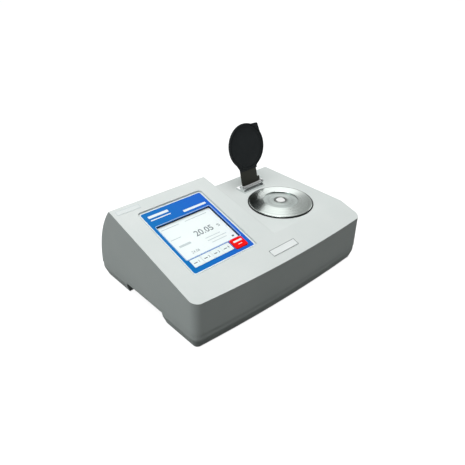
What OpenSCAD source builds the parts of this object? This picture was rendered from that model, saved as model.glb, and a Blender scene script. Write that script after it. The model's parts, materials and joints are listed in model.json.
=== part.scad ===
// Bench refractometer: a console with a sloping display, and a flat sample
// stage with a steel dish, a prism and a light-tight lid on a hinge.
// X runs to the right, Y to the back and Z up. The origin is on the bench,
// under the middle of the case.

/* [Case] */
// Width of the case
body_w = 376; // [350:1:400]
// Depth of the case
body_d = 260; // [250:1:290]
// Height of the console's rear top edge
rear_h = 144; // [138:1:152]
// Slope of the console top, in degrees
slope = 15.7; // [14.5:0.1:17]
// Radius of the curved rear wall
rear_curve_r = 176; // [168:1:200]
// How far the middle of the front bows forward
front_bow = 7; // [4:1:12]
// Radius of the upright corners at the front
corner_r = 14; // [12:1:24]
// Thickness of the case walls
wall = 3; // [2.4:0.1:3.6]
// Height of the joint between the housing and the base tray
seam_h = 28; // [27:1:30]
// How far the base tray stands in from the housing
seam_step = 0.8; // [0.2:0.1:1.5]

/* [Base] */
// Gap between the skirt and the bench
lift = 1; // [1:0.5:3]
// Height of the underside of the tray floor, above the bench
floor_h = 22; // [21:0.5:23]
// Thickness of the tray floor
floor_t = 3; // [2:0.5:4]
// How far the skirt leans in at its bottom edge
skirt_lean = 5.5; // [3:0.5:8]
// Height where the skirt's lean begins
bevel_h = 17; // [14:0.5:20]
// Length of the hand arch under each side
arch_len = 105; // [90:1:112]
// Middle of the hand arch, from the middle of the case
arch_y = 7.5; // [-2:0.5:14]
// How far each end of the arch leans
arch_lean = 4; // [2:1:8]
// Radius of a rubber foot
foot_r = 11; // [9:0.5:12]

/* [Stage] */
// Height of the flat stage
stage_h = 98; // [95:1:102]
// Left edge of the stage at its own level, from the middle of the case
stage_left = 15; // [8:1:22]
// Draft of the wall between console and stage, in degrees
stage_draft = 15; // [8:1:25]
// Middle of the sample dish, to the right of the middle of the case
dish_x = 99.5; // [94:0.5:105]
// Middle of the sample dish, behind the middle of the case
dish_y = -10.5; // [-14:0.5:-4]
// Radius of the steel dish
dish_r = 56.5; // [50:0.5:57]
// Height of the dish's outer edge above the stage
dish_edge = 2.6; // [2:0.1:3.2]
// Height of the dish's crest above the stage
dish_crest = 6; // [5:0.1:6.2]
// Radius of the crest, where the sample well begins
crest_r = 31; // [28:0.5:34]
// Width of the rubber seal around the dish
seal_w = 2; // [1.5:0.1:2.5]
// Radius of the prism
prism_r = 8; // [6:0.5:9]
// Radius of the ring around the prism
collar_r = 12; // [11:0.5:14]

/* [Lid] */
// Radius of the lid
lid_r = 41.5; // [38:0.5:44]
// Thickness of the lid plate
lid_t = 3; // [2.4:0.1:3]
// Depth of the rim under the lid plate
lid_lip = 1.2; // [0.6:0.1:1.4]
// Angle that the lid stands open, from closed, in degrees
lid_open = 105; // [95:1:110]
// Distance from the hinge pin back to the middle of the dish
hinge_back = 73; // [72:0.5:76]
// Height of the hinge pin above the stage
hinge_h = 8; // [7.8:0.1:9]
// Radius of the hinge pin
pin_r = 2; // [1.6:0.1:2.2]
// Outside width of the hinge bracket
bracket_w = 51; // [48:1:56]
// Width of the lid arm
arm_w = 39; // [32:1:40]
// Thickness of the lid arm
arm_t = 2; // [1.5:0.1:2.4]

/* [Display] */
// Middle of the display panel, from the middle of the case
panel_x = -89.5; // [-94:0.5:-84]
// Middle of the display panel, behind the middle of the case
panel_y = -9.4; // [-14:0.2:-5]
// Width of the display panel
panel_w = 123; // [119:0.5:126]
// Length of the display panel, up the slope
panel_l = 145; // [143:0.5:149]
// Thickness of the display panel
panel_t = 1.6; // [1.2:0.1:2]
// Gap around the display panel in its recess
panel_gap = 2.2; // [1:0.1:3]
// Depth of the recess
recess_d = 3.6; // [3:0.1:4.2]
// Width of the screen window
window_w = 107; // [100:0.5:109]
// Length of the screen window, up the slope
window_l = 80; // [76:0.5:81]
// Travel of a soft key
soft_travel = 0.4; // [0.2:0.05:0.4]
// Width of the start key
start_w = 25; // [22:0.5:26]
// Length of the start key, up the slope
start_l = 21; // [18:0.5:21]
// Travel of the start key
start_travel = 0.8; // [0.4:0.1:0.8]

/* [Rear] */
// Height of the connector opening
port_h = 46; // [44:1:50]
// Width of the connector opening
port_w = 144; // [140:1:150]
// Number of air slots
slot_count = 11; // [7:1:13]
// Side of the square fan
fan_side = 60; // [56:1:62]
// Thickness of the fan
fan_t = 20; // [15:1:25]

/* [Hidden] */
$fn = 64;

// Clearances: parts that only sit together, parts that slide, a pin in its bore,
// and a screw head on its seat
sit = 0.3;
slip = 0.4;
run = 0.05;
seat = 0.02;
// Allowance for cuts that pass right through
cut = 1;

case_paint = "#d3d7d5";
dark_metal = "#5b5d5a";
steel = "#b9bdbd";
rubber_black = "#1d1e1f";
board_green = "#1f6b3a";
sheet_metal = "#a9adad";

// The bowed front is an arc through both corners and the front's middle
bow_r = (body_w * body_w / 4 + front_bow * front_bow) / (2 * front_bow);
bow_cy = -body_d / 2 + bow_r;
corner_x = body_w / 2 - corner_r;
corner_y = bow_cy - sqrt(pow(bow_r - corner_r, 2) - corner_x * corner_x);

// The rear wall is an arc that is upright at the seam
rear_cy = body_d / 2 - rear_curve_r;
function rear_y(z, r = rear_curve_r) = rear_cy + sqrt(r * r - pow(z - seam_h, 2));
// The slope is a plane through the console's rear top edge
rear_top_y = rear_y(rear_h);
function slope_z(y) = rear_h - (rear_top_y - y) * tan(slope);
// The stage meets the slope along this line
crease_y = rear_top_y - (rear_h - stage_h) / tan(slope);

tray_top = floor_h + floor_t;
lip_t = 2;
lip_h = 5;

// Screws in the corners join the tray to posts in the housing
post_r = 5;
screw_r = 1.9;
post_inset = wall + post_r + lip_t + sit + seam_step;
post_top = 60;
posts_x = body_w / 2 - post_inset;
post_front_y = corner_y + 8;
post_rear_y = rear_y(post_top) - post_inset;
posts = [
    [-posts_x, post_front_y], [posts_x, post_front_y],
    [-posts_x, post_rear_y], [posts_x, post_rear_y]
];

// The feet stand inboard of the skirt, in the corners
foot_inset = skirt_lean + wall + foot_r + 6;
foot_plug_r = 6;
feet = [for (sx = [-1, 1], y = [-body_d / 2 + foot_inset + front_bow,
    body_d / 2 - foot_inset]) [sx * (body_w / 2 - foot_inset - 16), y]];

// Display stack, measured along the slope's normal (w) from its surface
panel_top = -recess_d + panel_t;
pan_bottom = -recess_d - wall;
glass_t = 1.2;
screen_t = 6.2;
screen_top = pan_bottom - glass_t;
board_t = 1.6;
board_top = screen_top - screen_t;
panel_r = 5;
border = 1.8;
gasket_w = 0.9;
window_v = -3.4;
glass_lap = 3;
screen_lap = 4.5;
display_post_x = window_w / 2 + screen_lap + 4.5;
display_post_y = window_l / 2 - 4;
display_post_r = 3;

// Strip of four soft keys below the screen
strip_w = 76.5;
strip_l = 15.6;
strip_u = -13;
strip_v = window_v - window_l / 2 - 2.4 - strip_l / 2;
soft_count = 4;
soft_gap = 0.5;
soft_w = (strip_w - soft_gap * (soft_count - 1)) / soft_count;
soft_t = 0.9;
soft_proud = 0.1;
dome_t = panel_t + soft_proud - soft_t - soft_travel - 0.1;

// The start key fills the corner right of the strip
start_u = strip_u + strip_w / 2 + 2.2 + start_w / 2;
start_v = strip_v - 1;
start_bottom = -recess_d + start_travel + 0.1;
start_top = panel_top + 1.4;
start_stem = 8;
start_stem_v = start_v - 3;
start_stem_bottom = pan_bottom - 1.6;
switch_side = 6.2;
switch_t = 3.5;
plunger_top = start_stem_bottom - start_travel - 0.1;
key_board_top = plunger_top - 0.5 - switch_t;
key_board_w = 56;
key_board_l = 16;
key_post_x = key_board_w / 2 - 4;

// Dish, from the stage surface up
seal_r = dish_r + seal_w;
seal_top = dish_edge - 0.5;
hole_r = dish_r - 2.5;
dish_skirt_r = hole_r - sit;
ring_h = 3;
dish_t = 2.2;
well_step = 1;
well_floor = dish_crest - well_step - 0.8;
collar_top = dish_crest - 0.4;
prism_top = dish_crest - 0.8;
block_r = crest_r + 3;
block_h = 26;
block_top = stage_h + dish_crest - well_step - 4;
block_bottom = block_top - block_h;
prism_len = 22;
beam_r = 4;
thermo_side = 22;
thermo_t = 3.6;
sink_top = block_bottom - thermo_t;
sink_w = 112;
sink_l = 90;
sink_base_t = 8;
fin_t = 2;
fin_count = 11;
fin_bottom = tray_top + 4;
sink_post_r = 4;
sink_posts = [for (sx = [-1, 1], sy = [-1, 1])
    [dish_x + sx * (sink_w / 2 - 6), dish_y + sy * (sink_l / 2 - 6)]];
fin_span = sink_w - 2 * (6 + sink_post_r + 3);

// Optics lie along X, to the left and right of the prism block
source_r = 8;
source_len = 18;
sensor_r = 9;
sensor_len = 62;
tube_wall = 2;
tube_bite = 6;
lens_t = 3;
beam_z = block_bottom + sensor_r + 0.5;

// Lid and hinge, from the hinge pin
hinge_x = dish_x;
hinge_y = dish_y + hinge_back;
hinge_z = stage_h + hinge_h;
barrel_r = pin_r + 1.6;
ear_t = 3.2;
ear_gap = sit;
barrel_half = bracket_w / 2 - ear_t - ear_gap;
bracket_base_t = hinge_h - barrel_r - 0.8;
bracket_front = -7.5;
bracket_rear = 17;
heel_len = hinge_h - bracket_base_t - 0.25;
arm_x = -2.5;
arm_top = barrel_r;
arm_reach = hinge_back - lid_r + 24;
disc_top = arm_top - arm_t;
disc_bottom = disc_top - lid_t;
neck_half = arm_w / 2 + 1.5;
neck_end = hinge_back - lid_r - 2;
tab_angle = 43;
tab_r = 3;
tab_reach = lid_r + 4.6;
lid_seal_w = 3;
lid_seal_r = lid_r - 4;

// Rear panel and what it carries
panel_back_y = rear_y(tray_top + 2 + fan_side, rear_curve_r - wall) - 1;
sheet_t = 2;
rear_panel_y = panel_back_y - sheet_t;
port_x = -body_w / 2 + port_w / 2 + 38;
port_z = tray_top + 8 + port_h / 2;
inlet_x = port_x - port_w / 2 + 28;
switch_x = inlet_x + 40;
fuse_x = switch_x + 20;
serial_x = fuse_x + 27;
fan_x = dish_x;
fan_z = tray_top + 2 + fan_side / 2;
fan_y = rear_panel_y - fan_t;
fan_bore_r = fan_side / 2 - 3;
hub_r = 13;
shaft_r = 1.5;
slot_w = 3;
slot_pitch = 6;

// Circuit boards on the tray floor
main_w = 146;
main_l = 96;
main_x = -body_w / 2 + main_w / 2 + 19;
main_y = -62;
post_h = 9;
board_z = tray_top + post_h;
power_w = 120;
power_l = 52;
power_x = -body_w / 2 + power_w / 2 + 20;
power_y = 50;
small_post_r = 3;
board_screw_r = 1.4;

function rect_corners(x, y, w, l, inset) =
    [for (sx = [-1, 1], sy = [-1, 1])
        [x + sx * (w / 2 - inset), y + sy * (l / 2 - inset)]];

tray_board_posts = concat(
    rect_corners(main_x, main_y, main_w, main_l, 5),
    rect_corners(power_x, power_y, power_w, power_l, 5));

// The end of a straight line drawn from the bow's centre through a front corner's
function past_corner(s) = [s * corner_x, corner_y]
    + 2 * corner_r * [s * corner_x, corner_y - bow_cy]
    / norm([corner_x, corner_y - bow_cy]);

// Where the outline is a corner's arc: right side for s = 1, left for s = -1
module corner_sector(s) {
    far = s * (corner_x + 2 * corner_r);
    polygon([
        [s * corner_x, corner_y], [far, corner_y],
        [far, corner_y - 2 * corner_r], past_corner(s)
    ]);
}

// Where the outline is the bowed front's arc
module bow_sector() {
    polygon([
        [-corner_x, corner_y], [corner_x, corner_y], past_corner(1), past_corner(-1)
    ]);
}

// Outline of the case seen from above, moved in by i, with its rear edge at rear
module plan(i, rear) {
    side = body_w / 2 - i;
    for (s = [-1, 1])
        intersection() {
            translate([s * corner_x, corner_y])
                circle(r = corner_r - i, $fn = 96);
            corner_sector(s);
        }
    intersection() {
        translate([0, bow_cy])
            circle(r = bow_r - i, $fn = 1440);
        bow_sector();
    }
    polygon([[side, corner_y], [side, rear], [-side, rear], [-side, corner_y]]);
}

// The skirt's outer form: the outline moved in by top at height z1, and by low
// at height z0
module skirt_form(low, top, z0, z1) {
    side_low = body_w / 2 - low;
    side_top = body_w / 2 - top;
    back_low = body_d / 2 - low;
    back_top = body_d / 2 - top;
    intersection() {
        translate([0, back_top + cut, 0])
            rotate([90, 0, 0])
                linear_extrude(back_top + cut - corner_y)
                    polygon([
                        [-side_low, z0], [side_low, z0], [side_top, z1], [-side_top, z1]
                    ]);
        along_x(body_w + 2 * cut)
            polygon([
                [corner_y - cut, z0], [back_low, z0], [back_top, z1], [corner_y - cut, z1]
            ]);
    }
    for (s = [-1, 1])
        intersection() {
            translate([s * corner_x, corner_y, z0])
                cylinder(r1 = corner_r - low, r2 = corner_r - top, h = z1 - z0, $fn = 96);
            translate([0, 0, z0])
                linear_extrude(z1 - z0)
                    corner_sector(s);
        }
    intersection() {
        translate([0, bow_cy, z0])
            cylinder(r1 = bow_r - low, r2 = bow_r - top, h = z1 - z0, $fn = 1440);
        translate([0, 0, z0])
            linear_extrude(z1 - z0)
                bow_sector();
    }
}

// Outline of the case seen from the right, moved in by i: Y across, Z up
module side_profile(i, low) {
    drop = i / cos(slope);
    front = -body_d / 2 - 2 * cut;
    back = body_d / 2 + 2 * cut;
    intersection() {
        translate([rear_cy, seam_h])
            circle(r = rear_curve_r - i, $fn = 360);
        polygon([
            [front, low], [front, slope_z(front) - drop],
            [back, slope_z(back) - drop], [back, low]
        ]);
    }
}

// Runs a profile drawn in Y and Z along the whole X width
module along_x(w) {
    rotate([90, 0, 90])
        translate([0, 0, -w / 2])
            linear_extrude(w)
                children();
}

// The space above the stage, with its drafted left wall, moved in by i
module stage_space(i) {
    rise = rear_h - stage_h;
    low = stage_h - i;
    left = stage_left - i / cos(stage_draft);
    top_left = left - (rise + 2 * cut + i) * tan(stage_draft);
    right = body_w / 2 + cut;
    translate([0, body_d / 2 + cut, 0])
        rotate([90, 0, 0])
            linear_extrude(body_d / 2 + cut - crease_y + body_d)
                polygon([
                    [left, low], [top_left, rear_h + 2 * cut],
                    [right, rear_h + 2 * cut], [right, low]
                ]);
}

// The closed outer form of the housing, moved in by i
module housing_form(i) {
    difference() {
        intersection() {
            translate([0, 0, seam_h - (i > 0 ? cut : 0)])
                linear_extrude(rear_h)
                    plan(i, body_d / 2 + cut);
            along_x(body_w + 2 * cut)
                side_profile(i, seam_h - (i > 0 ? cut : 0));
        }
        stage_space(i);
    }
}

// Places children on the slope: X across, Y up the slope, Z out of it
module on_slope() {
    translate([panel_x, panel_y, slope_z(panel_y)])
        rotate([slope, 0, 0])
            children();
}

// A rectangle with round corners, centred
module round_rect(w, l, r) {
    square([w - 2 * r, l], center = true);
    square([w, l - 2 * r], center = true);
    for (sx = [-1, 1], sy = [-1, 1])
        translate([sx * (w / 2 - r), sy * (l / 2 - r)])
            circle(r = r);
}

// A plate with round corners, from height z up by t
module round_plate(w, l, r, z, t) {
    translate([0, 0, z])
        linear_extrude(t)
            round_rect(w, l, r);
}

// An upright cylinder at a point in plan
module post(p, r, z, h) {
    translate([p[0], p[1], z])
        cylinder(r = r, h = h);
}

// A screw that points up from a head below: head height z, length len
module screw_up(p, r, z, len) {
    post(p, r * 1.9, z - r * 1.2, r * 1.2);
    post(p, r, z - 0.01, len);
}

// The same, with its head above
module screw_down(p, r, z, len) {
    post(p, r * 1.9, z, r * 1.2);
    post(p, r, z - len, len + 0.01);
}

module top_housing() {
    color(case_paint)
    difference() {
        union() {
            difference() {
                housing_form(0);
                housing_form(wall);
            }
            // Pan that carries the display panel
            intersection() {
                on_slope()
                    round_plate(panel_w + 2 * panel_gap + 2 * wall,
                        panel_l + 2 * panel_gap + 2 * wall,
                        panel_r + panel_gap + wall, pan_bottom, -pan_bottom);
                housing_form(wall / 2);
            }
            on_slope() {
                for (x = [-1, 1], y = [-1, 1])
                    post([x * display_post_x, window_v + y * display_post_y],
                        display_post_r, board_top, pan_bottom - board_top + cut);
                for (x = [-1, 1])
                    post([start_u + x * key_post_x, start_stem_v],
                        display_post_r, key_board_top, pan_bottom - key_board_top + cut);
            }
            // Ring that stiffens the stage around the dish
            translate([dish_x, dish_y, stage_h - wall - ring_h])
                cylinder(r = hole_r + 4, h = wall + ring_h - 1, $fn = 120);
            // Corner posts for the screws from the tray
            for (p = posts) {
                post(p, post_r, tray_top, post_top - tray_top);
                translate([p[0] > 0 ? p[0] : p[0] - post_inset + wall / 2, p[1] - 1.5,
                    seam_h + lip_h + sit])
                    cube([post_inset - wall / 2, 3, post_top - seam_h - lip_h - sit]);
            }
        }
        on_slope() {
            round_plate(panel_w + 2 * panel_gap, panel_l + 2 * panel_gap,
                panel_r + panel_gap, -recess_d, recess_d + cut);
            translate([0, window_v, 0])
                round_plate(window_w + 2 * gasket_w, window_l + 2 * gasket_w, 3,
                    pan_bottom - cut, wall + 2 * cut);
            translate([start_u, start_stem_v, pan_bottom - cut])
                linear_extrude(wall + 2 * cut)
                    square(start_stem + 2 * slip, center = true);
            for (x = [-1, 1], y = [-1, 1])
                post([x * display_post_x, window_v + y * display_post_y],
                    1.1, board_top - cut, 6 + cut);
            for (x = [-1, 1])
                post([start_u + x * key_post_x, start_stem_v],
                    1.1, key_board_top - cut, 5 + cut);
        }
        translate([dish_x, dish_y, stage_h - wall - ring_h - cut])
            cylinder(r = hole_r, h = wall + ring_h + 2 * cut, $fn = 120);
        for (p = posts)
            post(p, screw_r + 0.1, tray_top - cut, 16 + cut);
        // Opening for the connectors, and slots for the fan's air
        translate([port_x - port_w / 2, panel_back_y, port_z - port_h / 2])
            cube([port_w, body_d, port_h]);
        for (n = [0 : slot_count - 1])
            translate([fan_x + (n - (slot_count - 1) / 2) * slot_pitch - slot_w / 2,
                panel_back_y, fan_z - fan_side / 2 + 9])
                cube([slot_w, body_d, fan_side - 18]);
        // Pilot holes for the hinge bracket's screws
        for (x = [-1, 1])
            post([hinge_x + x * bracket_screw_x, hinge_y + bracket_screw_y],
                1.35, stage_h - wall - cut, wall + 2 * cut);
    }
}
bracket_screw_x = bracket_w / 2 - 8;
bracket_screw_y = 11.5;

module base_tray() {
    outer = seam_step;
    inner = seam_step + wall;
    low_in = outer + skirt_lean;
    color(case_paint)
    difference() {
        union() {
            difference() {
                union() {
                    translate([0, 0, bevel_h])
                        linear_extrude(seam_h - bevel_h)
                            plan(outer, body_d / 2 - outer);
                    skirt_form(low_in, outer, lift, bevel_h);
                }
                // Room above the floor, and inside the skirt below it
                translate([0, 0, tray_top])
                    linear_extrude(seam_h)
                        plan(inner, body_d / 2 - inner);
                translate([0, 0, lift - cut])
                    linear_extrude(floor_h - lift + cut)
                        plan(low_in + wall, body_d / 2 - low_in - wall);
            }
            // Lip that locates the housing
            translate([0, 0, tray_top - 0.5])
                linear_extrude(seam_h - tray_top + lip_h + 0.5)
                    difference() {
                        plan(wall + sit, body_d / 2 - inner - 2);
                        plan(wall + sit + lip_t, body_d / 2 - inner - 2 - lip_t);
                    }
            for (p = feet)
                post(p, foot_r + 2, lift, floor_h - lift);
            for (p = posts)
                post(p, post_r + 1.5, floor_h - 6, 6);
            for (p = tray_board_posts)
                post(p, small_post_r, tray_top - 0.5, post_h + 0.5);
            for (p = sink_posts)
                post(p, sink_post_r, tray_top - 0.5,
                    sink_top - sink_base_t - tray_top + 0.5);
            // Ribs that close the skirt at the ends of the arch
            for (s = [-1, 1])
                translate([-body_w / 2 + low_in + 1,
                    arch_y + s * (arch_len / 2 + wall / 2) - wall / 2, lift])
                    cube([body_w - 2 * low_in - 2, wall, floor_h - lift]);
        }
        // The hand arch runs under the whole case
        along_x(body_w + 2 * cut)
            polygon([
                [arch_y - arch_len / 2, -cut],
                [arch_y - arch_len / 2 + arch_lean, floor_h],
                [arch_y + arch_len / 2 - arch_lean, floor_h],
                [arch_y + arch_len / 2, -cut]
            ]);
        for (p = feet)
            post(p, foot_plug_r + sit / 2, lift - cut, foot_plug_h + cut);
        for (p = tray_board_posts)
            post(p, board_screw_r + 0.05, board_z - 7, 7 + cut);
        for (p = sink_posts)
            post(p, board_screw_r + 0.05, sink_top - sink_base_t - 7, 7 + cut);
        for (p = posts) {
            post(p, screw_r + sit, 0, seam_h);
            post(p, screw_r * 1.9 + sit, floor_h - 6 - cut, 3 + cut + seat);
            post(p, post_r + sit, tray_top, seam_h);
        }
    }
}
foot_plug_h = 6;

module rubber_feet() {
    color(rubber_black)
    for (p = feet) {
        post(p, foot_r, 0, lift);
        post(p, foot_plug_r, lift - 0.01, foot_plug_h - 1);
    }
}

module housing_screws() {
    color(steel)
    for (p = posts)
        screw_up(p, screw_r, floor_h - 3, 16);
}

// The display panel, with its window and the openings for the keys
module display_panel() {
    color("#1467c9")
    on_slope()
        difference() {
            round_plate(panel_w, panel_l, panel_r, -recess_d, panel_t);
            translate([0, window_v, 0])
                round_plate(window_w, window_l, 2, -recess_d - cut, panel_t + 2 * cut);
            translate([strip_u, strip_v, -recess_d - cut])
                linear_extrude(panel_t + 2 * cut)
                    square([strip_w + 2 * slip, strip_l + 2 * slip], center = true);
            translate([start_u, start_v, 0])
                round_plate(start_w + 2 * slip, start_l + 2 * slip, 4,
                    -recess_d - cut, panel_t + 2 * cut);
        }
}

module screen_gasket() {
    color(rubber_black)
    on_slope()
        translate([0, window_v, 0])
            difference() {
                round_plate(window_w + 2 * gasket_w - 0.1, window_l + 2 * gasket_w - 0.1,
                    2.9, pan_bottom, wall);
                round_plate(window_w, window_l, 2, pan_bottom - cut, wall + 2 * cut);
            }
}

module touch_glass() {
    color("#eef4f4")
    on_slope()
        translate([-window_w / 2 - glass_lap, window_v - window_l / 2 - glass_lap,
            pan_bottom - glass_t])
            cube([window_w + 2 * glass_lap, window_l + 2 * glass_lap, glass_t]);
}

module screen_module() {
    color("#d9dedf")
    on_slope()
        translate([-window_w / 2 - screen_lap + 1, window_v - window_l / 2 - screen_lap,
            board_top])
            cube([window_w + 2 * screen_lap - 2, window_l + 2 * screen_lap, screen_t]);
}

module display_board() {
    color(board_green)
    on_slope()
        translate([0, window_v, 0])
            difference() {
                round_plate(2 * (display_post_x + 4), window_l + 2 * screen_lap, 2,
                    board_top - board_t, board_t);
                for (x = [-1, 1], y = [-1, 1])
                    post([x * display_post_x, y * display_post_y], 1.4,
                        board_top - board_t - cut, board_t + 2 * cut);
            }
}

// Small screws that hold the display board and the key board
module display_screws() {
    color(steel)
    on_slope() {
        for (x = [-1, 1], y = [-1, 1])
            screw_up([x * display_post_x, window_v + y * display_post_y], 1,
                board_top - board_t, board_t + 5);
        for (x = [-1, 1])
            screw_up([start_u + x * key_post_x, start_stem_v], 1,
                key_board_top - board_t, board_t + 4);
    }
}

function soft_u(n) = strip_u + (n - (soft_count - 1) / 2) * (soft_w + soft_gap);

// Snap domes under the soft keys
module key_domes() {
    color(steel)
    on_slope()
        for (n = [0 : soft_count - 1])
            post([soft_u(n), strip_v], 5, -recess_d, dome_t);
}

module soft_key(n) {
    color("#f4f7f8")
    on_slope()
        translate([soft_u(n - 1), strip_v, 0])
            round_plate(soft_w, strip_l, 0.6, panel_top + soft_proud - soft_t, soft_t);
}

module start_key() {
    color("#e01f28")
    on_slope() {
        translate([start_u, start_v, 0]) {
            round_plate(start_w, start_l, 3.6, start_bottom, start_top - 0.6 - start_bottom);
            round_plate(start_w - 1.6, start_l - 1.6, 2.8, start_top - 0.7, 0.7);
        }
        translate([start_u, start_stem_v, start_stem_bottom])
            linear_extrude(start_bottom - start_stem_bottom + 0.1)
                square(start_stem, center = true);
    }
}

module key_board() {
    color(board_green)
    on_slope()
        translate([start_u, start_stem_v, 0])
            difference() {
                round_plate(key_board_w, key_board_l, 1.5, key_board_top - board_t, board_t);
                for (x = [-1, 1])
                    post([x * key_post_x, 0], 1.4, key_board_top - board_t - cut,
                        board_t + 2 * cut);
            }
}

module key_switch() {
    color("#2b2c2e")
    on_slope()
        translate([start_u, start_stem_v, key_board_top]) {
            linear_extrude(switch_t)
                square(switch_side, center = true);
            cylinder(r = 1.7, h = plunger_top - key_board_top);
        }
}

// Flat cable from the display board down to the main board. It is a bent
// strip, drawn from the side as a line of constant thickness.
module ribbon_cable() {
    cable_t = 0.8;
    cable_w = 30;
    top_y = main_y + 8;
    top_z = slope_z(top_y) + (board_top - board_t) / cos(slope);
    low_z = board_z + board_t + 6;
    mid_y = top_y - 9;
    color("#c9cccb")
    translate([main_x - cable_w / 2, 0, 0])
        rotate([90, 0, 90])
            linear_extrude(cable_w)
                polygon([
                    [top_y, top_z], [top_y - 0.6, top_z - 14], [mid_y, (top_z + low_z) / 2],
                    [mid_y, low_z], [mid_y + cable_t, low_z],
                    [mid_y + cable_t, (top_z + low_z) / 2 + 0.4],
                    [top_y - 0.6 + cable_t, top_z - 14],
                    [top_y + cable_t, top_z + cable_t * tan(slope)]
                ]);
}

module main_board() {
    color(board_green)
    difference() {
        translate([main_x - main_w / 2, main_y - main_l / 2, board_z])
            cube([main_w, main_l, board_t]);
        for (p = rect_corners(main_x, main_y, main_w, main_l, 5))
            post(p, board_screw_r + 0.1, board_z - cut, board_t + 2 * cut);
    }
}

// A chip or connector on a board: middle x and y, size, height
module chip(x, y, w, l, h) {
    translate([x - w / 2, y - l / 2, board_z + board_t])
        cube([w, l, h]);
}

module main_board_parts() {
    color("#2a2b2d") {
        chip(main_x - 30, main_y + 10, 24, 24, 2.4);
        chip(main_x + 34, main_y + 22, 16, 20, 2);
        for (n = [0 : 3])
            chip(main_x + 26 + n * 11, main_y - 24, 7, 15, 2.6);
        chip(main_x, main_y - 1 + 0.4, 34, 6, 6);
        chip(main_x - 52, main_y - 30, 14, 9, 10);
        for (n = [0 : 2])
            post([main_x - 22 + n * 12, main_y - 34], 3.2, board_z + board_t, 9);
    }
}

module power_board() {
    color("#7a5a24")
    difference() {
        translate([power_x - power_w / 2, power_y - power_l / 2, board_z])
            cube([power_w, power_l, board_t]);
        for (p = rect_corners(power_x, power_y, power_w, power_l, 5))
            post(p, board_screw_r + 0.1, board_z - cut, board_t + 2 * cut);
    }
}

module power_board_parts() {
    color("#c7a23c") {
        chip(power_x - 6, power_y, 34, 30, 28);
        chip(power_x - 44, power_y + 2, 18, 24, 15);
        for (s = [-1, 1])
            post([power_x + 28, power_y + s * 11], 8, board_z + board_t, 26);
        chip(power_x + 47, power_y, 4, 34, 24);
    }
}

// Rubber ring between the dish and the stage
module dish_seal() {
    color(rubber_black)
    translate([dish_x, dish_y, stage_h])
        rotate_extrude($fn = 160)
            polygon([
                [hole_r - sit / 2, 0], [seal_r, 0], [seal_r, seal_top - 0.6],
                [seal_r - 0.6, seal_top], [dish_r + 0.05, seal_top],
                [dish_r + 0.05, 1], [hole_r - sit / 2, 1]
            ]);
}

// Steel dish: a shallow cone that rises from its edge to the crest
module sample_dish() {
    slope_in = (dish_crest - dish_edge) / (dish_r - crest_r);
    under = dish_t;
    color(steel)
    translate([dish_x, dish_y, stage_h])
        rotate_extrude($fn = 160)
            polygon([
                [dish_r, 1], [dish_r, dish_edge - 0.4], [dish_r - 0.4, dish_edge],
                [crest_r + 0.4, dish_crest], [crest_r, dish_crest - 0.3],
                [crest_r, dish_crest - under - 0.6],
                [dish_skirt_r - 4, dish_edge - under + slope_in * (dish_r - dish_skirt_r + 4)],
                [dish_skirt_r - 2, -5], [dish_skirt_r - sit, -5], [dish_skirt_r - sit, 1]
            ]);
}

// Shallow steel bowl around the prism
module sample_well() {
    color("#a9adab")
    translate([dish_x, dish_y, stage_h])
        rotate_extrude($fn = 160)
            polygon([
                [collar_r + 0.05, well_floor], [crest_r - 3, dish_crest - well_step - 0.2],
                [crest_r - 1.5, dish_crest - well_step],
                [crest_r - 0.05, dish_crest - well_step],
                [crest_r - 0.05, block_top - stage_h],
                [collar_r + 0.05, block_top - stage_h]
            ]);
}

module prism_collar() {
    color("#8f9492")
    translate([dish_x, dish_y, stage_h])
        rotate_extrude($fn = 96)
            polygon([
                [prism_r + 0.1, prism_top - 0.3], [prism_r + 1.2, collar_top],
                [collar_r - 0.6, collar_top], [collar_r, collar_top - 0.6],
                [collar_r, block_top - stage_h], [prism_r + 0.1, block_top - stage_h]
            ]);
}

module prism() {
    color("#dfeaf0")
    translate([dish_x, dish_y, stage_h + prism_top - prism_len])
        cylinder(r = prism_r, h = prism_len, $fn = 96);
}

// Temperature block that holds the prism and passes the light beam
module prism_block() {
    color("#b08a4a")
    difference() {
        translate([dish_x, dish_y, block_bottom])
            cylinder(r = block_r - 4, h = block_h, $fn = 96);
        translate([dish_x, dish_y, stage_h + prism_top - prism_len])
            cylinder(r = prism_r + 0.1, h = prism_len + cut, $fn = 96);
        translate([dish_x, dish_y, beam_z])
            rotate([0, 90, 0])
                cylinder(r = beam_r, h = 3 * block_r, center = true);
        for (s = [-1, 1])
            translate([dish_x + s * (block_r - 4 - tube_bite), dish_y, beam_z])
                rotate([0, s * 90, 0])
                    cylinder(r = (s > 0 ? source_r : sensor_r) + 0.1, h = 2 * tube_bite);
    }
}

module thermo_modules() {
    color("#e8e6df")
    for (s = [-1, 1])
        translate([dish_x + s * (thermo_side / 2 + 0.6) - thermo_side / 2,
            dish_y - thermo_side / 2, sink_top])
            cube([thermo_side, thermo_side, thermo_t]);
}

// Screws that hold the boards and the heat sink on the tray's posts
module board_screws() {
    color(steel) {
        for (p = tray_board_posts)
            screw_down(p, board_screw_r, board_z + board_t, 8);
        for (p = sink_posts)
            screw_down(p, board_screw_r, sink_top, sink_base_t + 6);
    }
}

module heat_sink() {
    pitch = fin_span / (fin_count - 1);
    color("#9b9fa1")
    difference() {
        union() {
            translate([dish_x - sink_w / 2, dish_y - sink_l / 2, sink_top - sink_base_t])
                cube([sink_w, sink_l, sink_base_t]);
            for (n = [0 : fin_count - 1])
                translate([dish_x - fin_span / 2 + n * pitch - fin_t / 2,
                    dish_y - sink_l / 2, fin_bottom])
                    cube([fin_t, sink_l, sink_top - fin_bottom - 1]);
        }
        for (p = sink_posts)
            post(p, board_screw_r + 0.2, sink_top - sink_base_t - cut, sink_base_t + 2 * cut);
    }
}

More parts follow.
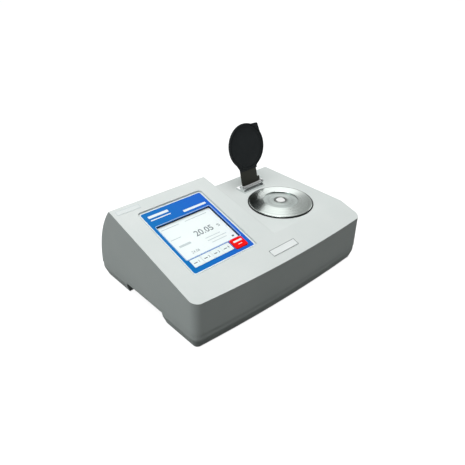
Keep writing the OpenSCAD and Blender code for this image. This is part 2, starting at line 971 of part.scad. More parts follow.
// A tube along X: its end nearest the prism, its direction, radius and length
module beam_tube(s, r, len) {
    translate([dish_x + s * (block_r - 4 - tube_bite), dish_y, beam_z])
        rotate([0, s * 90, 0])
            difference() {
                cylinder(r = r, h = len + tube_bite);
                translate([0, 0, -cut])
                    cylinder(r = r - tube_wall, h = len + tube_bite + 2 * cut);
            }
}

// A lens that fills a tube, at a distance from the block's face
module beam_lens(s, r, at) {
    translate([dish_x + s * (block_r - 4 + at), dish_y, beam_z])
        rotate([0, s * 90, 0])
            cylinder(r = r - tube_wall - 0.05, h = lens_t);
}

// A small board that closes a tube's far end
module beam_board(s, r, len, side) {
    translate([dish_x + s * (block_r - 4 + len), dish_y, beam_z])
        rotate([0, s * 90, 0]) {
            translate([-side / 2, -side / 2, 0])
                cube([side, side, board_t]);
            translate([-r / 2, -r / 3, -1.2])
                cube([r, r * 2 / 3, 1.3]);
        }
}

module source_tube() {
    color(dark_metal)
        beam_tube(1, source_r, source_len);
}

module source_lens() {
    color("#dfeaf0")
        beam_lens(1, source_r, 12);
}

module source_board() {
    color(board_green)
        beam_board(1, source_r - tube_wall, source_len, 2 * source_r + 2);
}

module sensor_tube() {
    color(dark_metal)
        beam_tube(-1, sensor_r, sensor_len);
}

module sensor_lens() {
    color("#dfeaf0")
        beam_lens(-1, sensor_r, 8);
}

module sensor_board() {
    color(board_green)
        beam_board(-1, sensor_r - tube_wall, sensor_len, 2 * sensor_r + 2);
}

// Places children at the fan, with Z along the air's way to the rear
module at_fan() {
    translate([fan_x, fan_y, fan_z])
        rotate([-90, 0, 0])
            children();
}

fan_hole = fan_side / 2 - 4.5;

module fan_frame() {
    rib_t = 3;
    color("#26282a")
    at_fan()
        difference() {
            union() {
                difference() {
                    round_plate(fan_side, fan_side, 4, 0, fan_t);
                    translate([0, 0, -cut])
                        cylinder(r = fan_bore_r, h = fan_t + 2 * cut, $fn = 96);
                }
                cylinder(r = hub_r - 1, h = rib_t);
                for (a = [45 : 90 : 315])
                    rotate(a)
                        translate([hub_r - 3, -1.5, 0])
                            cube([fan_bore_r - hub_r + 4, 3, rib_t]);
            }
            translate([0, 0, -cut])
                cylinder(r = shaft_r + run, h = fan_t);
            for (x = [-1, 1], y = [-1, 1])
                post([x * fan_hole, y * fan_hole], 1.7, -cut, fan_t + 2 * cut);
        }
}

module fan_rotor() {
    blade_count = 7;
    blade_reach = fan_bore_r - 1.2;
    low = 4;
    color("#34373a")
    at_fan() {
        post([0, 0], shaft_r, 0.5, low);
        post([0, 0], hub_r, low, fan_t - low - 1.5);
        intersection() {
            translate([0, 0, low])
                cylinder(r = blade_reach, h = fan_t - low - 1.5);
            for (n = [0 : blade_count - 1])
                rotate(n * 360 / blade_count)
                    translate([hub_r - 1, 0, low + (fan_t - low - 1.5) / 2])
                        rotate([38, 0, 0])
                            translate([0, -0.8, -fan_t / 2])
                                cube([blade_reach, 1.6, fan_t]);
        }
    }
}

module fan_screws() {
    color(steel)
    at_fan()
        for (x = [-1, 1], y = [-1, 1])
            translate([x * fan_hole, y * fan_hole, 0]) {
                translate([0, 0, -2])
                    cylinder(r = 3, h = 2);
                cylinder(r = 1.5, h = fan_t + sheet_t);
            }
}

// Cut through the rear panel for a rectangular fitting
module panel_cut(x, z, w, h) {
    translate([x - w / 2, rear_panel_y - cut, z - h / 2])
        cube([w, sheet_t + 2 * cut, h]);
}

inlet_w = 27;
inlet_h = 20;
inlet_flange_w = 44;
inlet_flange_h = 24;
inlet_depth = 18;
switch_w = 13;
switch_h = 21;
fuse_r = 6;
serial_w = 19;
serial_h = 11;
serial_flange_w = 31;
serial_rows = [-9, 9];
inlet_screw_x = inlet_flange_w / 2 - 4;
serial_screw_x = serial_flange_w / 2 - 3;
port_screw_r = 1.4;

// Places of the small screws that hold the inlet and the serial ports
port_screw_at = concat(
    [for (s = [-1, 1]) [inlet_x + s * inlet_screw_x, port_z]],
    [for (s = [-1, 1], dz = serial_rows) [serial_x + s * serial_screw_x, port_z + dz]]);

module rear_panel() {
    left = port_x - port_w / 2 - 3;
    right = fan_x + fan_side / 2 + 6;
    top = port_z + port_h / 2 - 1;
    fan_top = fan_z + fan_side / 2 - 4;
    color(sheet_metal)
    difference() {
        union() {
            translate([left, rear_panel_y, tray_top])
                cube([fan_x - fan_side / 2 - 6 - left, sheet_t, top - tray_top]);
            translate([fan_x - fan_side / 2 - 8, rear_panel_y, tray_top])
                cube([right - fan_x + fan_side / 2 + 8, sheet_t, fan_top - tray_top]);
        }
        panel_cut(inlet_x, port_z, inlet_w + sit, inlet_h + sit);
        panel_cut(switch_x, port_z, switch_w + sit, switch_h + sit);
        for (dz = serial_rows)
            panel_cut(serial_x, port_z + dz, serial_w + sit, serial_h - 1 + sit);
        translate([fuse_x, rear_panel_y - cut, port_z])
            rotate([-90, 0, 0])
                cylinder(r = fuse_r + sit / 2, h = sheet_t + 2 * cut);
        for (p = port_screw_at)
            translate([p[0], rear_panel_y - cut, p[1]])
                rotate([-90, 0, 0])
                    cylinder(r = port_screw_r + 0.1, h = sheet_t + 2 * cut);
        at_fan() {
            translate([0, 0, fan_t - cut])
                cylinder(r = fan_bore_r - 2, h = sheet_t + 2 * cut, $fn = 96);
            for (x = [-1, 1], y = [-1, 1])
                post([x * fan_hole, y * fan_hole], 1.7, fan_t - cut, sheet_t + 2 * cut);
        }
    }
}

// Mains inlet: a flange behind the panel's face and a socket with three pins
module power_inlet() {
    color("#202224")
    difference() {
        union() {
            translate([inlet_x - inlet_flange_w / 2, panel_back_y, port_z - inlet_flange_h / 2])
                cube([inlet_flange_w, 3, inlet_flange_h]);
            translate([inlet_x - inlet_w / 2, panel_back_y + 3 - inlet_depth - 4,
                port_z - inlet_h / 2])
                cube([inlet_w, inlet_depth + 4, inlet_h]);
        }
        translate([inlet_x - inlet_w / 2 + 1.5, panel_back_y + 3 - inlet_depth,
            port_z - inlet_h / 2 + 1.5])
            cube([inlet_w - 3, inlet_depth + cut, inlet_h - 3]);
        for (s = [-1, 1])
            translate([inlet_x + s * inlet_screw_x, panel_back_y - cut, port_z])
                rotate([-90, 0, 0])
                    cylinder(r = port_screw_r + 0.1, h = 3 + 2 * cut);
    }
}

module inlet_pins() {
    pin_w = 2;
    pin_h = 4;
    color("#c8b46a")
    for (n = [-1, 0, 1])
        translate([inlet_x + n * 7 - pin_w / 2, panel_back_y + 3 - inlet_depth,
            port_z - pin_h / 2 + (n == 0 ? 2.5 : -2)])
            cube([pin_w, inlet_depth - 4, pin_h]);
}

rocker_r = 16;
rocker_pin_r = 1.5;
rocker_tilt = 7;
rocker_y = panel_back_y - 3;

module switch_frame() {
    color("#1b1c1e")
    difference() {
        union() {
            translate([switch_x - switch_w / 2 - 1.5, panel_back_y, port_z - switch_h / 2 - 1.5])
                cube([switch_w + 3, 2, switch_h + 3]);
            translate([switch_x - switch_w / 2, panel_back_y - 16, port_z - switch_h / 2])
                cube([switch_w, 17, switch_h]);
        }
        translate([switch_x - switch_w / 2 + 1.3, panel_back_y - 10, port_z - switch_h / 2 + 1.3])
            cube([switch_w - 2.6, 20, switch_h - 2.6]);
        translate([switch_x, rocker_y, port_z])
            rotate([0, 90, 0])
                cylinder(r = rocker_pin_r + run, h = 2 * switch_w, center = true);
    }
}

// Rocker of the mains switch, tilted to its off side
module power_rocker() {
    w = switch_w - 2.6 - 2 * sit;
    h = switch_h - 2.6 - 1.6;
    color("#101112")
    translate([switch_x, rocker_y, port_z])
        rotate([rocker_tilt, 0, 0])
            union() {
                rotate([0, 90, 0])
                    cylinder(r = rocker_pin_r, h = switch_w - 0.4, center = true);
                intersection() {
                    translate([-w / 2, -4, -h / 2])
                        cube([w, 12, h]);
                    translate([0, -rocker_r + 7.6, 0])
                        rotate([0, 90, 0])
                            cylinder(r = rocker_r, h = w + 1, center = true, $fn = 128);
                }
            }
}

module fuse_holder() {
    color("#232527")
    translate([fuse_x, panel_back_y, port_z])
        rotate([-90, 0, 0]) {
            difference() {
                cylinder(r = fuse_r + 2, h = 6);
                translate([-1, -4, 4.8])
                    cube([2, 8, 2]);
            }
            translate([0, 0, -24])
                cylinder(r = fuse_r, h = 25);
        }
}

// Two nine-way sockets, one above the other
module serial_ports() {
    color("#b4b8b8")
    for (dz = serial_rows)
        translate([serial_x, panel_back_y, port_z + dz])
            difference() {
                union() {
                    translate([-serial_flange_w / 2, 0, -6])
                        cube([serial_flange_w, 1, 12]);
                    translate([-serial_w / 2, -10, -4.5])
                        cube([serial_w, 16, 9]);
                }
                for (row = [0, 1], n = [0 : 4 - row])
                    translate([(n - (4 - row) / 2) * 2.8, 2, row == 0 ? 1.4 : -1.4])
                        rotate([-90, 0, 0])
                            cylinder(r = 0.7, h = 6, $fn = 16);
                for (s = [-1, 1])
                    translate([s * serial_screw_x, -cut, 0])
                        rotate([-90, 0, 0])
                            cylinder(r = port_screw_r + 0.1, h = 1 + 2 * cut);
            }
}

module port_screws() {
    color(steel)
    for (n = [0 : len(port_screw_at) - 1]) {
        p = port_screw_at[n];
        proud = n < 2 ? 3 : 1;
        translate([p[0], panel_back_y, p[1]])
            rotate([-90, 0, 0]) {
                translate([0, 0, -sheet_t - 2])
                    cylinder(r = port_screw_r, h = sheet_t + 2 + proud);
                translate([0, 0, proud])
                    cylinder(r = port_screw_r * 1.8, h = 1.5);
            }
    }
}

// Places children at the hinge pin
module at_hinge() {
    translate([hinge_x, hinge_y, hinge_z])
        children();
}

// Places children on the lid, drawn closed, and swings them open
module on_lid() {
    at_hinge()
        rotate([-lid_open, 0, 0])
            children();
}

module hinge_bracket() {
    ear_rear = 5;
    ear_top = pin_r + 2.6;
    color(steel)
    at_hinge()
        difference() {
            union() {
                translate([-bracket_w / 2, bracket_front, -hinge_h])
                    cube([bracket_w, bracket_rear - bracket_front, bracket_base_t]);
                for (s = [-1, 1])
                    translate([s * (bracket_w / 2 - ear_t / 2), 0, 0]) {
                        rotate([0, 90, 0])
                            cylinder(r = ear_top, h = ear_t, center = true);
                        translate([-ear_t / 2, -ear_top, -hinge_h])
                            cube([ear_t, ear_top + ear_rear, hinge_h]);
                    }
            }
            rotate([0, 90, 0])
                cylinder(r = pin_r + 0.03, h = bracket_w + 2 * cut, center = true);
            for (x = [-1, 1])
                post([x * bracket_screw_x, bracket_screw_y], 1.6, -hinge_h - cut,
                    bracket_base_t + 2 * cut);
        }
}

module bracket_screws() {
    color("#8d9190")
    at_hinge()
        for (x = [-1, 1]) {
            post([x * bracket_screw_x, bracket_screw_y], 2.8,
                bracket_base_t - hinge_h, 1.4);
            post([x * bracket_screw_x, bracket_screw_y], 1.25,
                -hinge_h - wall - 2, bracket_base_t + wall + 2.1);
        }
}

module hinge_pin() {
    head_t = 1.2;
    color("#d4d8d8")
    at_hinge()
        rotate([0, 90, 0]) {
            cylinder(r = pin_r, h = bracket_w + 0.2, center = true);
            for (s = [-1, 1])
                translate([0, 0, s * (bracket_w / 2 + head_t / 2 + 0.05)])
                    cylinder(r = pin_r + 1, h = head_t, center = true);
        }
}

// Steel arm: a plate on the lid, a barrel round the pin, and a heel that
// stops the lid when it stands open
module lid_arm() {
    color(dark_metal)
    on_lid()
        difference() {
            union() {
                rotate([0, 90, 0])
                    cylinder(r = barrel_r, h = 2 * barrel_half, center = true);
                translate([arm_x - arm_w / 2, -arm_reach, disc_top])
                    cube([arm_w, arm_reach, arm_t]);
                translate([arm_x + arm_w / 2 - 1, -barrel_r - 8, disc_top])
                    cube([barrel_half - arm_x - arm_w / 2 + 1, barrel_r + 8, arm_t]);
                translate([-14, 0, -1])
                    cube([28, heel_len, 2]);
            }
            rotate([0, 90, 0])
                cylinder(r = pin_r + run, h = 2 * barrel_half + 2 * cut, center = true);
            for (x = lid_screw_x)
                post([x, -lid_screw_y], 1.7, disc_top - cut, arm_t + 2 * cut);
        }
}
lid_screw_x = [arm_x - 11, arm_x + 11];
lid_screw_y = arm_reach - 9;

// Outline of the lid, drawn closed, with the pin along X at the origin
module lid_outline() {
    tab = [sin(tab_angle), -cos(tab_angle)];
    side_a = tab_angle - 17;
    side_b = tab_angle + 22;
    flare_x = 29;
    flare_y = sqrt(lid_r * lid_r - flare_x * flare_x);
    translate([0, -hinge_back]) {
        circle(r = lid_r, $fn = 180);
        translate(tab_reach * tab)
            circle(r = tab_r);
        polygon([
            [0, 0],
            lid_r * [sin(side_a), -cos(side_a)],
            tab_reach * tab + tab_r * [-sin(tab_angle - 40) * 0.4 - 0.2, -cos(tab_angle - 40)],
            tab_reach * tab + tab_r * [cos(side_b - 75), sin(side_b - 75)],
            lid_r * [sin(side_b), -cos(side_b)]
        ]);
    }
    polygon([
        [arm_x - neck_half, -neck_end], [arm_x + arm_w / 2, -neck_end],
        [arm_x + arm_w / 2, -neck_end - 4], [flare_x, -hinge_back + flare_y],
        [-flare_x, -hinge_back + flare_y], [arm_x - neck_half, -neck_end - 4]
    ]);
}

module lid_disc() {
    color(rubber_black)
    on_lid()
        difference() {
            union() {
                translate([0, 0, disc_bottom])
                    linear_extrude(lid_t)
                        lid_outline();
                translate([0, -hinge_back, disc_bottom - lid_lip])
                    difference() {
                        cylinder(r = lid_r - 0.4, h = lid_lip + 0.5, $fn = 180);
                        translate([0, 0, -cut])
                            cylinder(r = lid_r - 2.4, h = lid_lip + 3, $fn = 180);
                    }
            }
            for (x = lid_screw_x)
                post([x, -lid_screw_y], 1.3, disc_bottom + 0.8, lid_t + cut);
        }
}

module lid_seal() {
    color("#2b2d2e")
    on_lid()
        translate([0, -hinge_back, disc_bottom - 0.5])
            difference() {
                cylinder(r = lid_seal_r, h = 0.5, $fn = 120);
                translate([0, 0, -cut])
                    cylinder(r = lid_seal_r - lid_seal_w, h = 3, $fn = 120);
            }
}

module lid_screws() {
    color(steel)
    on_lid()
        for (x = lid_screw_x) {
            post([x, -lid_screw_y], 3, arm_top, 1.4);
            post([x, -lid_screw_y], 1.2, disc_bottom + 1, arm_top - disc_bottom - 1);
        }
}

plate_w = 57;
plate_l = 13.6;
plate_t = 0.6;

module name_plate() {
    color("#e9ecec")
    on_slope()
        translate([plate_u, plate_v, 0])
            round_plate(plate_w, plate_l, 1, 0, plate_t);
}
plate_u = 95.5;
plate_v = -(panel_y + body_d / 2 - 22.8) / cos(slope);

module model_plate() {
    color("#dfe3e2")
    on_slope()
        translate([-70, (rear_top_y - 10.5 - panel_y) / cos(slope), 0])
            round_plate(43, 9.5, 0.6, 0, 0.4);
}

top_housing();
base_tray();
rubber_feet();
housing_screws();
display_panel();
screen_gasket();
touch_glass();
screen_module();
display_board();
display_screws();
key_domes();
start_key();
soft_key(1);  // soft_key_1
soft_key(2);  // soft_key_2
soft_key(3);  // soft_key_3
soft_key(4);  // soft_key_4
key_board();
key_switch();
ribbon_cable();
main_board();
main_board_parts();
power_board();
power_board_parts();
board_screws();
dish_seal();
sample_dish();
sample_well();
prism_collar();
prism();
prism_block();
thermo_modules();
heat_sink();
source_tube();
source_lens();
source_board();
sensor_tube();
sensor_lens();
sensor_board();
fan_frame();
fan_rotor();
fan_screws();
rear_panel();
power_inlet();
inlet_pins();
switch_frame();
power_rocker();
fuse_holder();
serial_ports();
port_screws();
hinge_bracket();
bracket_screws();
hinge_pin();
lid_arm();
lid_disc();
lid_seal();
lid_screws();
name_plate();
model_plate();
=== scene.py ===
# %% [markdown]
# # A bench refractometer
# The real object is a painted case with a sloping screen on its left and a steel sample
# dish on its right, under a black lid that stands open. The solids come from the CAD
# frame. This script gives them their soft edges, their print and their finishes, and
# never moves them. Blender works in metres, so lengths are written in millimetres and
# multiplied by MM.

# %% Load the frame
import json
import math
import bmesh
import bpy
from mathutils import Matrix, Vector


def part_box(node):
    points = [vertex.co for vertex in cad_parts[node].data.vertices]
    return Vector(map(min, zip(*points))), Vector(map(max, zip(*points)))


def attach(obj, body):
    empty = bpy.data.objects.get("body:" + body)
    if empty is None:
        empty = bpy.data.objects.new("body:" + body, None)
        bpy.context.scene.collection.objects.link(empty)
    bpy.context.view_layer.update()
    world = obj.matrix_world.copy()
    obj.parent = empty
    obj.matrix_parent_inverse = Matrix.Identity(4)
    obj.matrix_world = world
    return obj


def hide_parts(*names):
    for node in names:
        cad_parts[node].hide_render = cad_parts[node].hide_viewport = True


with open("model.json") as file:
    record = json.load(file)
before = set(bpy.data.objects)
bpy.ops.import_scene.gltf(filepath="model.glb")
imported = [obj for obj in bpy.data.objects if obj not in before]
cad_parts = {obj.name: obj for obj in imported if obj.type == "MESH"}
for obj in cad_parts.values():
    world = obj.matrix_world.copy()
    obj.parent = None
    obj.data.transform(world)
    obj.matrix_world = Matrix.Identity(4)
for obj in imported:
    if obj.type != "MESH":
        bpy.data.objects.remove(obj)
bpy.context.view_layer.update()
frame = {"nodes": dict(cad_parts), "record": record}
MM = 0.001

# %% [markdown]
# ## Helpers for finishes
# Colours are written as the hex values that a paint chart gives, and the shader wants
# them linear, so one helper turns them. Another adds a node, sets it and links it, so
# that each finish below reads as a short recipe. It takes an input by its label, with
# underscores for spaces, or as i0 and i1 where labels repeat. Two more put a fine
# texture in the surface and a slow change in its colour.

# %% Helpers for finishes
def linear(code):
    parts = [int(code[i:i + 2], 16) / 255 for i in (1, 3, 5)]
    return [c / 12.92 if c <= 0.04045 else ((c + 0.055) / 1.055) ** 2.4 for c in parts] + [1.0]


def add(tree, kind, settings=None, **inputs):
    made = tree.nodes.new(kind)
    for key, value in (settings or {}).items():
        setattr(made, key, value)
    for key, value in inputs.items():
        numbered = key[0] == "i" and key[1:].isdigit()
        socket = made.inputs[int(key[1:]) if numbered else key.replace("_", " ")]
        if isinstance(value, bpy.types.NodeSocket):
            tree.links.new(value, socket)
        else:
            socket.default_value = value
    return made


def start(name, colour, roughness, metallic=0.0, **more):
    finish = bpy.data.materials.new(name)
    finish.use_nodes = True
    tree = finish.node_tree
    shader = tree.nodes["Principled BSDF"]
    shader.inputs["Base Color"].default_value = linear(colour)
    shader.inputs["Roughness"].default_value = roughness
    shader.inputs["Metallic"].default_value = metallic
    for key, value in more.items():
        shader.inputs[key.replace("_", " ")].default_value = value
    place = add(tree, "ShaderNodeTexCoord").outputs["Object"]
    return finish, tree, shader, place


def grain(tree, shader, place, size_mm, depth_mm, detail=2.0):
    noise = add(tree, "ShaderNodeTexNoise", Vector=place, Scale=1000 / size_mm, Detail=detail)
    bump = add(tree, "ShaderNodeBump", Height=noise.outputs["Fac"], Distance=depth_mm * MM,
               Strength=1.0)
    tree.links.new(bump.outputs["Normal"], shader.inputs["Normal"])
    return noise


def mottle(tree, shader, source, first, second, low=0.35, high=0.65):
    ramp = add(tree, "ShaderNodeValToRGB", Fac=source)
    for stop, at, code in zip(ramp.color_ramp.elements, (low, high), (first, second)):
        stop.position = at
        stop.color = linear(code)
    tree.links.new(ramp.outputs["Color"], shader.inputs["Base Color"])


finishes = {}
print("helpers ready")

# %% [markdown]
# ## Case paint
# The real case is powder coated: a light cool grey, satin, with the very fine orange
# peel that the spray leaves. A noise of 0.9 mm gives that skin, a broad, weak one keeps
# the large faces from looking like one flat colour, and a third varies the gloss where
# hands have been. The specular level is close to nothing, because at a grazing angle
# the walls that lean in would otherwise mirror the white floor.

# %% Case paint
finish, tree, shader, place = start("satin_powder_coat", "#dfe3e2", 0.45, Specular_IOR_Level=0.01)
grain(tree, shader, place, 0.9, 0.006, 3.0)
clouds = add(tree, "ShaderNodeTexNoise", Vector=place, Scale=14.0, Detail=3.0)
mottle(tree, shader, clouds.outputs["Fac"], "#dde1e0", "#e2e5e4", 0.3, 0.7)
handling = add(tree, "ShaderNodeTexNoise", Vector=place, Scale=60.0, Detail=4.0)
gloss = add(tree, "ShaderNodeMapRange", Value=handling.outputs["Fac"], To_Min=0.40, To_Max=0.52)
tree.links.new(gloss.outputs["Result"], shader.inputs["Roughness"])
finishes["case_paint"] = finish
print(finish.name)

# %% [markdown]
# ## Moulded plastics
# Most plastic pieces differ only in colour, gloss and the texture of their mould, so
# they share one recipe. A table gives each its name, two close colours, its roughness,
# and the size and depth of its mould grain in millimetres. Rubber, the lid and the red
# key shine less than the rest.

# %% Plastics and rubber
plastics = {
    "rubber": ("moulded_black_rubber", "#181a1a", "#1f2222", 0.62, 0.8, 0.020),
    "screen_case": ("pale_moulded_abs", "#cfd4d4", "#d8dcdc", 0.50, 0.9, 0.012),
    "boards": ("green_solder_mask", "#17603a", "#1f7044", 0.35, 1.8, 0.030),
    "power_boards": ("brown_phenolic_board", "#6d4d20", "#7c5a29", 0.55, 1.2, 0.020),
    "board_parts": ("black_moulded_epoxy", "#1d1e20", "#27282b", 0.58, 0.5, 0.010),
    "power_parts": ("yellow_taped_windings", "#b08a26", "#c69f3a", 0.38, 1.5, 0.040),
    "soft_keys": ("white_key_film", "#f1fbfc", "#f6feff", 0.38, 0.7, 0.006),
    "ribbon": ("grey_ribbon_cable", "#b4b8b7", "#c6c9c8", 0.50, 1.3, 0.040),
    "thermo": ("white_sintered_plate", "#e2e0d8", "#ebe9e2", 0.60, 0.4, 0.008),
    "black_plastic": ("black_moulded_nylon", "#141517", "#1d1e20", 0.48, 0.6, 0.015),
    "lid_black": ("black_satin_abs", "#212527", "#262a2c", 0.42, 0.7, 0.010),
    "plates": ("white_label_film", "#eef1f1", "#f3f5f5", 0.28, 1.1, 0.004),
    "start_key": ("red_gloss_abs", "#fb0a0e", "#ff0e12", 0.3, 1.0, 0.004),
}
PLASTIC_IOR = 1.5
FULL_SHINE = 0.5
LOW_SHINE = 0.12
for slot, (name, dark, light, roughness, size, depth) in plastics.items():
    shine = LOW_SHINE if slot in ("rubber", "lid_black", "start_key") else FULL_SHINE
    finish, tree, shader, place = start(name, light, roughness, IOR=PLASTIC_IOR,
                                        Specular_IOR_Level=shine)
    grain(tree, shader, place, size, depth)
    clouds = add(tree, "ShaderNodeTexNoise", Vector=place, Scale=45.0, Detail=3.0)
    mottle(tree, shader, clouds.outputs["Fac"], dark, light)
    finishes[slot] = finish
print(len(plastics), "plastics")

# %% [markdown]
# ## Blue film
# The panel is a polyester film printed on its back, so it is smooth and even. Its blue
# is painted a little greener at the left end than at the right, as painted sheen. A ramp
# read along X, from one end of the film to the other, gives that painted sheen.

# %% Blue film
finish, tree, shader, place = start("blue_printed_polyester", "#1670cc", 0.30, IOR=PLASTIC_IOR,
                                    Specular_IOR_Level=LOW_SHINE)
grain(tree, shader, place, 0.6, 0.005)
low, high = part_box("display_panel")
# The change of blue along the film is painted sheen, not a change in its print.
split = add(tree, "ShaderNodeSeparateXYZ", Vector=place)
painted_sheen_along_x = add(tree, "ShaderNodeMapRange", Value=split.outputs["X"], From_Min=low.x, From_Max=high.x)
mottle(tree, shader, painted_sheen_along_x.outputs["Result"], "#0674bf", "#2066d4", 0.0, 1.0)
finishes["panel_print"] = finish
print(finish.name)

# %% [markdown]
# ## Metals
# Plain metals keep the default IOR and get their look from roughness. Brushed or
# extruded ones have fine lines along the way they were worked, and a noise squeezed
# along one axis draws those lines. They are about 0.5 mm apart, coarser than real, so
# that they show. Polished pieces have a quarter of the relief.

# %% Worked metals
metals = {
    "screws": ("zinc_plated_steel", "#a5a8a8", 0.34, (1, 1, 1), 0.5),
    "dome_steel": ("sprung_stainless", "#b8baba", 0.25, (1, 1, 1), 0.5),
    "block_brass": ("machined_brass", "#b8954c", 0.30, (1, 1, 8), 0.5),
    "sink": ("extruded_aluminium", "#a9acad", 0.42, (9, 0.4, 9), 0.5),
    "tubes": ("black_anodised_aluminium", "#303133", 0.38, (0.5, 8, 8), 0.5),
    "sheet": ("satin_anodised_sheet", "#b1b4b4", 0.40, (0.4, 8, 8), 0.5),
    "pin_brass": ("nickelled_brass", "#c9bd8e", 0.22, (1, 1, 1), 0.5),
    "port_shell": ("tinned_steel", "#b9bcbc", 0.26, (1, 1, 1), 0.6),
    "hinge_steel": ("polished_stainless", "#dcdfdf", 0.12, (0.4, 6, 6), 0.5),
    "arm_steel": ("dark_bronzed_steel", "#3b3c37", 0.34, (7, 1, 0.4), 0.5),
}
for slot, (name, colour, roughness, squeeze, size) in metals.items():
    finish, tree, shader, place = start(name, colour, roughness, 1.0)
    squeezed = add(tree, "ShaderNodeMapping", Vector=place, Scale=squeeze)
    relief = 0.004 if roughness > 0.2 else 0.001
    noise = grain(tree, shader, squeezed.outputs["Vector"], size, relief)
    gloss = add(tree, "ShaderNodeMapRange", Value=noise.outputs["Fac"],
                To_Min=roughness - 0.06, To_Max=roughness + 0.08)
    tree.links.new(gloss.outputs["Result"], shader.inputs["Roughness"])
    finishes[slot] = finish
print(len(metals), "metals")

# %% [markdown]
# ## Turned stainless steel
# The dish is faced on a lathe, so its surface is a spiral of fine grooves. They tilt
# the surface only towards or away from the middle, which is what draws the bright bow
# that follows the light round a turned disc. Rings of noise, read from the distance to
# the dish's axis, do the same here. They are 0.5 mm wide so that they survive in the
# render, where real ones are about 0.1 mm. The well's floor has deeper grooves and a
# darker colour, which is painted shade in the well, and the ring round the prism is
# darkened as painted shade round the prism. The table gives each groove's depth in
# millimetres.

# %% Turned steel
low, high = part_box("sample_dish")
dish_axis = (low + high) / 2
GROOVE_WIDTH = 0.5
BAND_WIDTH = 4.0
TURNED_ROUGHNESS = 0.19
turned_steels = (
    ("dish_steel", "turned_stainless", 0.045, "#c4ccc8", "#d1d9d5"),
    # The well's darker colour is painted shade in the sunk well; its deeper grooves are real.
    ("well_steel", "deep_turned_stainless_painted_shade", 0.08, "#959d9a", "#a3aba8"),
    # The ring round the prism is darkened steel: painted shade round the prism.
    ("collar_steel", "collar_stainless_painted_shade", 0.02, "#5c605d", "#686c69"),
)
for slot, name, depth, dark, light in turned_steels:
    finish, tree, shader, place = start(name, light, TURNED_ROUGHNESS, 1.0)
    centred = add(tree, "ShaderNodeMapping", Vector=place, Scale=(1, 1, 0),
                  Location=(-dish_axis.x, -dish_axis.y, 0))
    reach = add(tree, "ShaderNodeVectorMath", {"operation": "LENGTH"}, i0=centred.outputs["Vector"])
    grooves = add(tree, "ShaderNodeTexNoise", {"noise_dimensions": "1D"}, W=reach.outputs["Value"],
                  Scale=1000 / GROOVE_WIDTH, Detail=1.0)
    bump = add(tree, "ShaderNodeBump", Height=grooves.outputs["Fac"], Distance=depth * MM,
               Strength=1.0)
    tree.links.new(bump.outputs["Normal"], shader.inputs["Normal"])
    bands = add(tree, "ShaderNodeTexNoise", {"noise_dimensions": "1D"}, W=reach.outputs["Value"],
                Scale=1000 / BAND_WIDTH, Detail=2.0)
    mottle(tree, shader, bands.outputs["Fac"], dark, light)
    finishes[slot] = finish
print("dish axis", [round(c, 4) for c in dish_axis[:2]])

# %% [markdown]
# ## Prism and lens glass
# The prism is high-index optical glass with a real IOR of 1.7, and its working face is
# polished. It is a quarter clear, and the rest is a white base that paints a highlight on it.

# %% Optical glass
# The white base, which shows through three quarters of the glass, is a painted highlight.
finish, tree, shader, place = start("optical_glass_painted_highlight", "#ffffff", 0.03, IOR=1.7,
                                    Transmission_Weight=0.25)
grain(tree, shader, place, 3.0, 0.0006)
finishes["prism_glass"] = finish
print(finish.name)

# %% [markdown]
# ## Screen cover
# A matt film lies over a pale reflective screen: almost white, with a cool cast and only
# a soft sheen. The tiny grain is the anti-glare etch, and a weak glow is the backlight.

# %% Screen cover
finish, tree, shader, place = start("anti_glare_cover", "#f2f8f8", 0.34, IOR=PLASTIC_IOR,
                                    Coat_Weight=0.3, Coat_Roughness=0.12)
shader.inputs["Emission Color"].default_value = linear("#f4feff")
shader.inputs["Emission Strength"].default_value = 0.08
grain(tree, shader, place, 0.5, 0.003)
clouds = add(tree, "ShaderNodeTexNoise", Vector=place, Scale=9.0)
mottle(tree, shader, clouds.outputs["Fac"], "#eff6f6", "#f6fbfb")
finishes["touch_glass"] = finish
print(finish.name)

# %% [markdown]
# ## Finishes on the solids
# The record names a material slot for each solid, and each slot has a finish of the same
# name. Two solids differ from the others in their slot: the seal in the lid is as black
# as the lid, and the ring round the prism is darkened steel, which is painted shade.

# %% Finishes on the solids
for row in frame["record"]["subparts"]:
    solid = frame["nodes"][row["node"]]
    solid.data.materials.clear()
    solid.data.materials.append(finishes[row["material_slot"]])
frame["nodes"]["lid_seal"].data.materials[0] = finishes["lid_black"]
# The ring round the prism gets the darkened steel, which is painted shade.
frame["nodes"]["prism_collar"].data.materials[0] = finishes["collar_steel"]
print(len(finishes), "finishes on", len(frame["nodes"]), "solids")

# %% [markdown]
# ## Softened solids
# A moulded or pressed part never has a knife edge. For each solid whose edges the eye
# meets, a copy of its mesh is merged, its flat faces are joined, and chosen edges are
# bevelled. The copy then stands for the solid. Edges that turn less than the crease
# angle are shaded smooth.

# %% Copy, bevel and hand over
CREASE = math.radians(32)


def copy_of(node):
    mesh = bmesh.new()
    mesh.from_mesh(frame["nodes"][node].data)
    bmesh.ops.remove_doubles(mesh, verts=mesh.verts, dist=0.002 * MM)
    bmesh.ops.dissolve_limit(mesh, angle_limit=math.radians(0.4), verts=mesh.verts,
                             edges=mesh.edges)
    mesh.normal_update()
    return mesh


def soften(mesh, edges, offset_mm, segments, clamp=True):
    bmesh.ops.bevel(mesh, geom=list(edges), offset=offset_mm * MM, offset_type="OFFSET",
                    segments=segments, profile=0.5, affect="EDGES", clamp_overlap=clamp,
                    material=-1)
    mesh.normal_update()


def sharp(edge, least=25.0):
    return (len(edge.link_faces) == 2 and edge.is_convex
            and edge.calc_face_angle(0.0) > math.radians(least))


def middle(edge):
    return (edge.verts[0].co + edge.verts[1].co) / 2


def put_in_scene(name, data):
    made = bpy.data.objects.new(name, data)
    bpy.context.scene.collection.objects.link(made)
    return made


